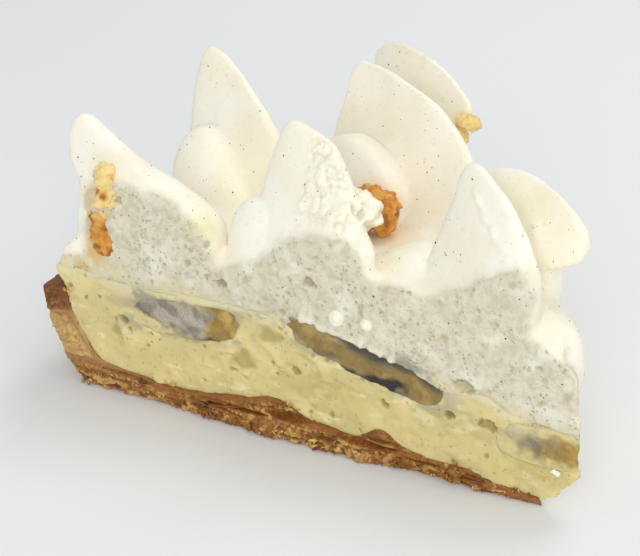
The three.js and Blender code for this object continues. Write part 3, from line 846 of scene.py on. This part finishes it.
def banana_glow(points, names, reach):
    """1 against the named banana slices, fading over `reach` millimetres."""
    nearest = np.full(len(points), FAR)
    for name in names:
        nearest = np.minimum(nearest, slab_distance(points.T, *BANANAS[name]))
    return np.exp(-np.maximum(nearest, 0) / reach)


def fuzzy_spot(x, z, at, size, seed):
    far = np.hypot((x - at[0]) / size[0], (z - at[1]) / size[1])
    return ease(1.1, 0.3, far + 0.5 * noise(x / 1.6, 0, z / 1.3, seed))


def torn_ridge(points, normals):
    start, end = np.array(RIDGE)
    way = (end - start) / np.linalg.norm(end - start)
    near = points[:, [0, 2]] - start
    along = near @ way / np.linalg.norm(end - start)
    off = near @ (-way[1], way[0]) + 0.5 * noise(along * 7, 0, 0, 29)
    reach = ease(-0.05, 0.1, along) * ease(1.1, 0.9, along)
    return np.exp(-((off / 0.6) ** 2)) * reach * (points[:, 1] < 15) * (normals[:, 1] < -0.2)


def over_custard(x, y, z):
    """Height over the custard, wavering where the knife dragged the layers together."""
    return z - custard_top(x, y) + 2.2 * noise(x / 7, y / 7, (z + 0.3 * x) / 1.8, 44)


def cream_stain(points, place):
    """Caramel that ran down from the left crumble or lies round the middle one."""
    x, y, z = place
    run = np.exp(-(((x + 94.6) / 2.4) ** 2)) * ease(24, 28, z) * (1 - ease(40, 44, z))
    run = np.maximum(run, fuzzy_spot(x, z, *STAIN_FOOT, 37)) * (y < 3)
    run = run * ease(-0.5, 0.2, mottle(place, (1.2, 1, 1.4), 40))
    return np.maximum(run, 0.5 * near_lumps(points, NUGGETS["nugget_middle"], 5))


def cream_cut(mesh, cut, place):
    """The cut's porous look, fading at its edges and left off the left fin's bevel."""
    x, _, z = place
    bevelled = (1 - ease(-97.5, -95.8, x + 0.6 * noise(z / 2, 0, 0, 33))) * ease(26, 28, z)
    cut = soften(mesh, cut * (1 - bevelled), 50)
    return ease(0.1, 0.85, cut + 0.25 * mottle(place, 2.5, 34) * (cut > 0.02))


def texture_cream(mesh, material):
    mesh = thin_out(mesh, opened(mesh) > 0.02, CREAM_FACES)
    points, normals = refine(mesh, opened(mesh) > 0.3)
    place = x, y, z = points.T
    front, back, torn = on_front(points, normals), on_back(points, normals), torn_zone(points, normals)
    torn = torn * ease(-0.5, 0.1, mottle(place, 3, 25) + 0.5 * ease(44, 50, z))
    broken = np.maximum(0.5 * torn, near_lumps(points, CURD, 0.8))
    cut = np.maximum(front, back)
    swell = 0.16 * mottle(place, 6, 21) + 0.06 * mottle(place, 2, 22)
    rough = 0.14 * mottle(place, 0.9, 23) + 0.2 * mottle(place, (2.1, 1, 1.9), 24)
    clots = np.abs(mottle(place, (1.9, 1.9, 1.7), 26)) + 0.5 * np.abs(mottle(place, 0.8, 27))
    ridge = torn_ridge(points, normals)
    thinning = 0.4 * ease(1.2, -0.5, z - custard_top(x, y)) * cut
    thinning = thinning + 0.3 * banana_glow(points, ["banana_tip"], 0.8) * cut
    rise = swell * (1 - cut) + 0.6 * rough * cut + (1.7 * clots - 0.5) * broken
    rise = rise + ridge * (0.5 + 0.5 * mottle(place, (1.5, 1, 1.5), 30)) - thinning
    points, pore = press_pores(points + normals * rise[:, None], front, CREAM_PORES)
    move_points(mesh, points)
    bruise = np.exp(-(((x + 71) / 3.4) ** 2 + ((z - 39) / 2.4) ** 2)) * (y < 4)
    # Grey on the cut: near the left banana slice it is that slice's grey smear; near the middle slice and
    # over its top edge it is painted shade.
    grey = 0.4 * banana_glow(points, ("banana_left", "banana_middle"), 1.6)
    grey = grey * ease(-0.3, 0.4, noise(x / 2, 0, z / 1.2, 28))
    grey = np.maximum(grey, fuzzy_spot(x, z, *SHADOW_OVER_MIDDLE_BANANA, 43)) * front
    drops = near_lumps(points, WHITE_DROPS, 0.4)
    cut = cream_cut(mesh, cut, place)
    # Painted shade in the pores, deepest where a pore is deepest, and in the hollows between the clots.
    pits = ease(0.5, 0.15, clots) * broken
    masks = dict(cut=cut * (1 - drops), pore=np.maximum(0.75 * pore**1.2, 0.5 * pits),
                 torn=np.clip(broken + drops + 0.8 * ridge, 0, 1), stain=0.8 * cream_stain(points, place),
                 bruise=0.55 * bruise, grey=0.8 * grey,
                 custardy=0.7 * cut * ease(4, -0.6, over_custard(x, y, z)))
    return finish_piece("cream", mesh, material, masks, ["whipped_cream"])


# ---- custard

# Curled folds of the smeared custard: x, z, half width, half height. Then patches of olive
# painted shade in its hollows and towards the tip, with how strong each one is.
FOLDS = [(-60.5, 14.5, 5.2, 5), (-66.5, 10.5, 4.2, 4.6), (-50, 13.5, 4.4, 5.5)]
OLIVE_SHADE = [(-62.9, 13.6, 3.8, 2.6, 0.75), (-57, 20.4, 3.4, 1.6, 0.75), (-90.4, 12.6, 1.6, 2.4, 0.75),
         (-66, 18.6, 3, 1.2, 0.75), (-50, 12, 9, 5, 0.35), (-22, 9, 16, 7, 0.2), (-2, 8, 7, 7, 0.2)]


def custard_radius(z):
    return wall_inner(np.minimum(z, 18.6)) - 0.2 + 1.6 * ease(19.6, 23.1, z)


def smear_share(x, z):
    """1 where the knife dragged the left banana slice down over the front cut."""
    above = z - 19.8 + 0.354 * (x + 89.2)
    left_of = -72.5 + 0.6 * (z - 13.9) - x
    right_of = 0.7 * (x + 88.6) - 0.5 * (z - 19.8)
    streaks = 0.9 * noise((x + 2 * z) / 3, 0, (z - 0.5 * x) / 5, 86) + 0.6 * noise(x / 0.9, 0, z / 0.8, 36)
    within = np.minimum(np.minimum(above, left_of), np.minimum(right_of, 22.6 - z))
    return ease(-0.4, 0.9, within + streaks)


def custard_mesh():
    grid = Grid.over((-110, -2, -1), (10, 82, 27), CREAM_STEP)
    base = base_top(np.maximum(from_axis(grid.x, grid.y), 0), round_axis(grid.x, grid.y, 1))
    field = np.maximum(grid.z - custard_top(grid.x, grid.y) - OVERLAP, base - 0.3 - grid.z)
    field = meet(field, np.hypot(grid.x, grid.y) - custard_radius(grid.z), 0.8)
    field = meet(field, outside_back(*grid.place), 0.4)
    field = np.maximum(field, outside_front(*grid.place) + 0.08)
    carve_bananas(field, grid)
    return skin_mesh("custard", field, grid)


def make_custard(material):
    mesh = custard_mesh()
    points, normals = refine(mesh, on_front(*surface_of(mesh)) > 0.3)
    x, y, z = points.T
    front = on_front(points, normals)
    cut = np.maximum(front, on_back(points, normals))
    dragged = z + 0.35 * x  # the knife smeared it down to the left
    smear = 0.3 * noise(x / 7, y / 7, z / 5, 45) + 0.14 * noise(x / 5, y / 5, dragged / 2, 41)
    smear = smear + 0.08 * noise(x / 2.2, y / 2.2, dragged / 1.2, 42) - 0.1
    fold = sum(np.exp(-((np.hypot((x - fx) / wide, (z - fz) / high) - 1) * 5) ** 2)
               * ease(-0.3, 0.3, z - fz) for fx, fz, wide, high in FOLDS)
    thinning = 0.2 * ease(-0.6, 0.7, z - custard_top(x, y))
    thinning = thinning + 0.3 * banana_glow(points, ["banana_tip"], 0.8)
    rise = (smear + 0.45 * fold - thinning) * cut
    points, pore = press_pores(points + normals * rise[:, None], front, CUSTARD_PORES)
    move_points(mesh, points)
    grey = 0.6 * banana_glow(points, ("banana_left", "banana_middle"), 0.9)
    grey = grey * ease(-0.4, 0.3, noise(x / 2, 0, z / 1.2, 46))
    olive_shade = sum(share * fuzzy_spot(x, z, (ox, oz), (wide, high), 47)
                for ox, oz, wide, high, share in OLIVE_SHADE)
    masks = dict(pore=0.8 * pore, milky=0.7 * (cut * ease(-4, 0.6, over_custard(x, y, z))),
                 grey=np.maximum(grey, 0.9 * smear_share(x, z)) * front, olive_shade=cut * np.clip(olive_shade, 0, 1))
    return finish_piece("custard_filling", mesh, material, masks, ["custard"])


# ---- crust

CRUST_STEP = 0.4
LEAF = 1.0  # thickness of one flaky layer
HOLLOWS = [((-53.5, -0.8, 4.6), (4.6, 3.2, 1.1)), ((-36.5, -0.6, 3.4), (6.4, 3, 1.0)),
           ((-76, -0.3, 4.4), (3.2, 2, 0.35)), ((-64, -0.5, 3.4), (7, 2, 0.4)),
           ((-45, -1.5, 2.2), (4.5, 2, 0.45)), ((-25, -0.3, 2.2), (4, 1.6, 0.35))]


def pastry(s, z, thick, seed):
    """Relief of a broken pastry edge, and the depth of its gaps and height of its crumbs, 0..1.

    It is crumbly all over, with leaves and gaps in the middle and a smooth skin on top.
    """
    crumbs = 1.6 * np.abs(noise(s / 0.9, z / 0.8, 0, seed))
    crumbs = crumbs + 1.2 * np.abs(noise(s / 0.45, z / 0.45, 0, seed + 1))
    lumps = noise(s / 3, z / 2.4, 0, seed + 6)
    height = (z + 0.9 * noise(s / 12, z / 8, 0, seed + 2)) / LEAF
    row = np.floor(height)
    edge = 0.5 * noise(s / 5, row * 3.7, 0, seed + 3)
    gap = ease(0.5, 1, np.abs(2 * (height - row) - 1))
    gap = gap * ease(-0.1, 0.5, noise(s / 9, row * 2.3, 0, seed + 5))
    flaky = ease(1.0, 1.9, z) * ease(0.8, 1.5, thick - z) * (z < 8)
    under_top = ease(1.1, 0.5, thick - z)
    foot = 0.9 * noise(s / 2.4, 0, 0, seed + 7) * ease(1.8, 0.4, z)
    out = (0.5 * lumps + 0.5 * crumbs - 0.3) * (1 - 0.7 * flaky) * (1 - 0.7 * under_top)
    out = out + foot + flaky * (edge - 0.9 * gap)
    pits = ease(0.35, 0.05, crumbs) * (1 - under_top)
    return out, np.maximum(flaky * gap, 0.6 * pits), ease(0.6, 1.2, crumbs) * (1 - under_top)


def crust_jut(r):
    """How much of the greatest jut of the broken base there is at a distance from the axis."""
    return np.exp(-(((r - 55) / 20) ** 2))


def crust_mesh():
    grid = Grid.over((-111, -4, -1), (3, 84, 22), CRUST_STEP)
    x = grid.x - CRUST_TIP * np.clip(1 - np.hypot(grid.x, grid.y) / TIP_REACH, 0, 1) ** 2
    r, angle = np.hypot(x, grid.y), round_axis(x, grid.y, 0.5)
    rim = grid.z - RIM_HEIGHT - 0.8 * noise(r / 2, angle * 30, 0, 2)
    wall = meet(wall_inner(grid.z) - r, rim, 0.8)
    field = join(grid.z - base_top(r, angle), wall, 1.6)
    field = meet(field, r - wall_outer(grid.z), 1.0)
    field = meet(field, outward(x, grid.y), 0.3)
    jut = 1.4 * crust_jut(r) * np.clip(1 - grid.z / 6, 0, 1)
    field = meet(field, -0.2 - grid.y - jut, 0.3)
    field = np.maximum(field, -grid.z)
    for hollow in HOLLOWS:
        cut, g = grid.block(*box_round([hollow], 1))
        field[cut] = meet(field[cut], -ball_distance(g, *hollow), 0.3)
    return skin_mesh("crust", field, grid)


def make_crust(material):
    mesh = crust_mesh()
    points, normals = surface_of(mesh)
    points, normals = refine(mesh, (normals[:, 1] < -0.5) & (points[:, 1] < 1))
    place = x, y, z = points.T
    r = np.hypot(x, y)
    front = ease(0.4, 0.8, -normals[:, 1]) * (y < 2.5)
    back = ease(0.6, 0.85, outward(*normals.T[:2])) * (outward(x, y) > -3)
    cut = np.maximum(front, back)
    on_wall = ease(4.5, 7, z) * ease(88, 91, r)
    thick = base_top(np.minimum(r, CORNER_RADIUS), round_axis(x, y, 0.5))
    covered = np.where(on_wall > 0.5, r - wall_inner(z), thick - z)
    front_out, front_pit, front_crumb = pastry(-x, z, z + covered, 51)
    back_out, back_pit, back_crumb = pastry(along_back(x, y), z, z + covered, 61)
    outer = (1 - cut) * ease(94, 96, r) * ease(0, 0.8, z)
    crags = 0.6 * mottle(place, (3, 3, 2.6), 71) + 0.6 * np.abs(mottle(place, 1.1, 72))
    points = points + normals * (crags * outer)[:, None]
    fade = ease(0, 10, r)
    points[:, 1] -= front_out * front * fade
    points = points + (back_out * back * fade)[:, None] * np.array([OUT_X, OUT_Y, 0])
    points[:, 2] = np.maximum(points[:, 2], 0)
    move_points(mesh, points)
    speckle = 0.6 * mottle(place, (2.6, 2.6, 1.4), 75) + 0.4 * mottle(place, 0.9, 76)
    # The raised crumbs of both cuts get a painted highlight; the outer side gets pale speckles.
    crumb = np.maximum(np.maximum(front * front_crumb, back * back_crumb), 0.5 * outer * (speckle > 0))
    skin_band = ease(1.3, 0.5, covered + 0.8 * speckle) * cut
    toast = ease(12.6, 17.4, z + 2.5 * speckle)
    burnt = ease(0.1, 0.5, speckle) * ease(4, 0.5, z) * (1 - on_wall)
    wall = ease(2, 7, z) * ease(80, 90, r) * (1 - toast)
    # Painted shade in the gaps and crumb hollows of both cuts.
    masks = dict(gap_shade=0.75 * np.maximum(front * front_pit, back * back_pit), skin=0.5 * skin_band,
                 pale=0.7 * crumb * (1 - skin_band), wall=0.8 * wall,
                 toast=np.clip(0.85 * toast + 0.4 * burnt, 0, 1))
    return finish_piece("crust_body", mesh, material, masks, ["crust"])


def round_lump(detail):
    shape = bmesh.new()
    bmesh.ops.create_icosphere(shape, subdivisions=detail, radius=1)
    points = np.array([v.co for v in shape.verts])
    faces = np.array([[v.index for v in f.verts] for f in shape.faces])
    shape.free()
    return points, faces


def turned(points, about_x, about_y, about_z):
    for angle, (a, b) in zip((about_x, about_y, about_z), ((1, 2), (2, 0), (0, 1))):
        cos, sin = math.cos(angle), math.sin(angle)
        points = points.copy()
        points[:, [a, b]] = points[:, [a, b]] @ np.array([[cos, sin], [-sin, cos]])
    return points


class Heap:
    """Many small lumps that become one piece, each with its own shade."""

    def __init__(self, detail):
        self.ball, self.sides = round_lump(detail)
        self.points, self.faces, self.shades = [], [], []

    def add(self, centre, size, turn, ragged, shade):
        seed = len(self.points)
        swell = 1 + ragged * noise(*(self.ball * 1.7 + seed * 3.1).T, seed)
        lump = turned(self.ball * swell[:, None] * size, *turn)
        self.faces.append(self.sides + seed * len(self.ball))
        self.points.append(lump + centre)
        self.shades.append(np.full(len(lump), shade))

    def finish(self, name, material, masks, wave=0):
        """Makes the piece, kept over the floor. `masks` turns the shades into its masks."""
        mesh = mesh_of(name, np.concatenate(self.points), np.concatenate(self.faces))
        points = points_of(mesh)
        points[:, 2] += wave * noise(points[:, 0] / 1.4, points[:, 1] / 1.4, points[:, 2], 95)
        points[:, 2] = np.maximum(points[:, 2], 0.02)
        move_points(mesh, points)
        return finish_piece(name, mesh, material, masks(np.concatenate(self.shades)))


LEAVES_PER_CUT = 30


def make_leaves(material):
    """Loose leaves of pastry that stick out of both cuts of the crust."""
    heap = Heap(2)
    for back in (0, 1):
        for s in rng.uniform(8, 92, LEAVES_PER_CUT):
            thick = float(base_top(s, WEDGE * back))
            z = rng.uniform(0.6, max(thick - 0.9, 0.9))
            size = (rng.uniform(1.6, 4.8), rng.uniform(0.4, 0.9), rng.uniform(0.14, 0.28))
            jut = 0.1 + 1.1 * crust_jut(s) * (1 - z / 8)
            place = (-s, -jut, z)
            if back:
                place = (-s * OUT_Y + jut * OUT_X * 0.6, s * OUT_X + jut * OUT_Y * 0.6, z)
            facing = back * (math.pi - WEDGE)
            turn = (rng.normal(0, 0.2), rng.normal(0, 0.06), facing + rng.normal(0, 0.12))
            heap.add(place, size, turn, 0.45, rng.uniform())
    return heap.finish("crust_leaves", material,
                       lambda shade: dict(toast=0.5 * (shade < 0.3), pale=0.7 * (shade > 0.75)), 0.25)


# Crumbs that stand out: centre, size, how many.
CRUMB_CLUSTERS = [((-97.4, -0.9, 1.2), 1.5, 5), ((-18.9, -1.0, 2.4), 1.6, 18), ((-14, -0.6, 0.8), 0.9, 7),
                  ((-30, -1.2, 0.9), 1.0, 6), ((-46, -1.9, 1.0), 1.2, 12), ((-42, -1.8, 0.9), 1.0, 8),
                  ((-38, -1.4, 0.9), 1.1, 9), ((-58, -2.0, 1.0), 1.3, 8), ((-52.5, -0.8, 7.0), 1.0, 8),
                  ((-78.5, -0.6, 5.2), 0.8, 4), ((-70, -1.4, 0.8), 1.0, 6), ((-101.6, 0, 19.6), 0.7, 5)]


def make_crumbs(material):
    heap = Heap(2)
    for centre, spread, number in CRUMB_CLUSTERS:
        for _ in range(number):
            size = rng.uniform((0.35, 0.2, 0.12), (0.8, 0.55, 0.4)) * (0.6 + 0.35 * spread)
            place = np.array(centre) + rng.normal(0, spread * 0.55, 3) * (1, 0.3, 0.8)
            place[2] = max(place[2], size[2] * 0.9)
            heap.add(place, size, rng.uniform(-3, 3, 3), 0.7, rng.uniform())
    for x in rng.uniform(-98, -4, 80):
        size = rng.uniform((0.25, 0.15, 0.1), (0.6, 0.4, 0.3)) * rng.uniform(0.7, 1.2)
        place = (x, -0.2 - 1.3 * crust_jut(-x), rng.uniform(0.3, 2.4))
        heap.add(place, size, rng.uniform(-3, 3, 3), 0.8, rng.uniform())
    return heap.finish("crust_crumbs", material,
                       lambda shade: dict(toast=0.5 * (shade < 0.15), pale=1.0 * (shade > 0.3)))


def make_flake(material):
    """A white flake that stuck to the banana at the tip."""
    heap = Heap(3)
    heap.add((0.6, -0.2, 7.6), (0.9, 0.35, 0.6), (0, 0.5, 0.2), 0.6, 1.0)
    return heap.finish("white_flake", material, lambda shade: dict(torn=shade))


# ---- bananas and crumble

# Dark patches on the front cut's banana slices: (x, z), half sizes, and a number for their edge. The left
# slice's two are painted shade, in a hole and at its top-left corner.
LEFT_SHADE_SPOTS = [((-70, 16.2), (1.8, 1.4), 88), ((-84.6, 20), (3.4, 1.8), 80)]
MIDDLE_DARK = [((-39.8, 16.6), (3.2, 1.5), 83), ((-33, 16.4), (4, 1.9), 89)]
TIP_GREY = [((-4.5, 13), (4.4, 2.4), 83), ((-4.4, 12.2), (4.4, 2.6), 89)]


def banana_masks(name, place):
    x, _, z = place
    centre, radii, slope = BANANAS[name]
    rise = (z - centre[2] - slope * (x - centre[0])) / radii[2]
    along = (x - centre[0]) / radii[0]
    fine = mottle(place, (0.8, 0.8, 0.7), 85)
    ragged = 0.4 * mottle(place, (2.2, 2.2, 1.4), 82) + 0.3 * fine
    rim = ease(0.35, 0.95, np.abs(rise) + ragged)
    if name == "banana_left":
        smear = smear_share(x, z)
        shade = noise((x + 2 * z) / 3.4, 0, (z - 0.5 * x) / 5, 87) + 0.6 * noise(x / 1.3, 0, z / 1.1, 90)
        shade = 0.55 * ease(-0.3, 0.7, shade) * smear
        dark, faint = [fuzzy_spot(x, z, *spot) for spot in LEFT_SHADE_SPOTS]
        return dict(smear=0.9 * smear, custard=(1 - smear) * ease(-69, -73, x),
                    dark=0.85 * np.maximum(dark, 0.5 * faint),
                    shade=np.maximum(shade, 0.3 * rim * (1 - smear)))
    if name == "banana_middle":
        soft = 0.35 * mottle(place, (4, 4, 2), 82) + 0.12 * fine
        top_band = ease(0.0, 0.8, rise + soft) * ease(-0.6, -0.1, along)
        low_band = ease(0.2, 0.95, -rise + soft) * ease(-0.9, -0.4, along)
        black = np.maximum(*[fuzzy_spot(x, z, *spot) for spot in MIDDLE_DARK])
        # The top band's streaks darken further as painted shade under the cream's edge.
        streaks = top_band * ease(0.35, 0.8, rise + 0.6 * soft)
        return dict(smear=0.3 * rim, custard=0.4 * ease(0.2, -0.4, along) * rim,
                    shade=np.maximum(0.3, 0.95 * np.maximum(top_band, low_band)),
                    dark=np.clip(black + 0.55 * streaks, 0, 1))
    if name == "banana_tip":
        fade = ease(0.2, -0.6, along + 0.4 * ragged)
        fade = np.maximum(fade, ease(0.3, 0.85, np.abs(rise) + 0.4 * ragged))
        pale, grey = [fuzzy_spot(x, z, *spot) for spot in TIP_GREY]
        return dict(smear=0.5 * pale, custard=fade, shade=0.65 * grey)
    return dict(smear=0.2 * rim, custard=0.3 * rim, shade=0.3 * rim)


def make_banana(name, material):
    centre, radii, slope = BANANAS[name]
    grid = Grid.over(*box_round([(centre, radii)], (1.5, 1.5, 4.5)), 0.33)
    field = slab_distance(grid.place, centre, radii, slope)
    for outside in (outside_front, outside_back):
        field = meet(field, outside(*grid.place) + 0.1, 1.2 if name == "banana_tip" else 0.5)
    mesh = skin_mesh(name, field, grid)
    points, normals = surface_of(mesh)
    dents = 0.3 * mottle(points.T, (2.4, 2.4, 1.8), 81) + 0.14 * mottle(points.T, (1, 1, 0.8), 84)
    move_points(mesh, points + normals * dents[:, None])
    return finish_piece("slice_" + name, mesh, material, banana_masks(name, points.T), [name])


def make_nugget(name, material):
    lumps = NUGGETS[name]
    grid = Grid.over(*box_round(lumps, 1), 0.2)
    field = grid.empty()
    for centre, radii in lumps:
        field = join(field, ball_distance(grid, centre, np.multiply(radii, 0.85)), 0.4)
        for way in rng.normal(0, 1, (5, 3)):
            place = centre + 0.65 * way / np.linalg.norm(way) * radii
            field = join(field, ball_distance(grid, place, np.multiply(radii, rng.uniform(0.25, 0.45))), 0.3)
    field = field + 0.4 * mottle(grid.place, 1.4, 91) + 0.3 * mottle(grid.place, 0.6, 92)
    mesh = skin_mesh(name, field, grid)
    place = points_of(mesh).T
    blotch, z = mottle(place, 1.8, 93), place[2]
    pale = ease(-0.6, 0.1, blotch) * (name == "nugget_left") * ease(35, 39, z)
    burnt = 0.8 * ease(0.15, 0.55, -blotch - 0.25 * (z > 37))
    if name == "nugget_back":  # a pale one, soaked by the cream
        pale, burnt = 0.9 + 0 * z, 0.2 * burnt
    return finish_piece("crumble_" + name, mesh, material, dict(pale=pale, burnt=burnt), [name])


# ---- specks

SPECKS = (1200, 320)  # on the cream and on the custard


def make_specks(carriers, material):
    """Vanilla specks: tiny flat lumps pressed into the cream and custard."""
    ball, sides = round_lump(1)
    points, faces, tan = [], [], []
    for carrier, number in zip(carriers, SPECKS):
        mesh = carrier.data
        area = np.empty(len(mesh.polygons))
        mesh.polygons.foreach_get("area", area)
        for face in rng.choice(len(area), number, p=area / area.sum()):
            polygon = mesh.polygons[face]
            size = 0.07 + 0.14 * rng.uniform() ** 2
            squash = rng.uniform(0.7, 1.5, 3)
            centre = np.array(polygon.center) / MM - TO_FRAME - 0.5 * size * np.array(polygon.normal)
            faces.append(sides + len(points) * len(ball))
            points.append(centre + ball * size * squash)
            tan.append(np.full(len(ball), float(rng.uniform() < 0.35)))
    mesh = mesh_of("specks", np.concatenate(points), np.concatenate(faces))
    return finish_piece("vanilla_specks", mesh, material, dict(tan=np.concatenate(tan)))


# ---- floor

def make_floor():
    bpy.ops.mesh.primitive_plane_add(size=6, location=(0, 0, -0.0001))
    floor = bpy.context.object
    floor.name = "floor"
    look = Look("floor", 0.7)
    look.paint((236, 237, 238), (233, 234, 235, look.patches(300, 2, 0.4, 0.6)))
    floor.data.materials.append(look.material)


make_camera()
make_room()
make_floor()
cream = make_cream(cream_material())
custard = make_custard(custard_material())
crust_look = crust_material()
make_crust(crust_look)
make_leaves(crust_look)
make_crumbs(crust_look)
banana_look = banana_material()
for banana in BANANAS:
    make_banana(banana, banana_look)
crumble_look = crumble_material()
for nugget in NUGGETS:
    make_nugget(nugget, crumble_look)
make_flake(cream.data.materials[0])
make_specks([cream, custard], speck_material())
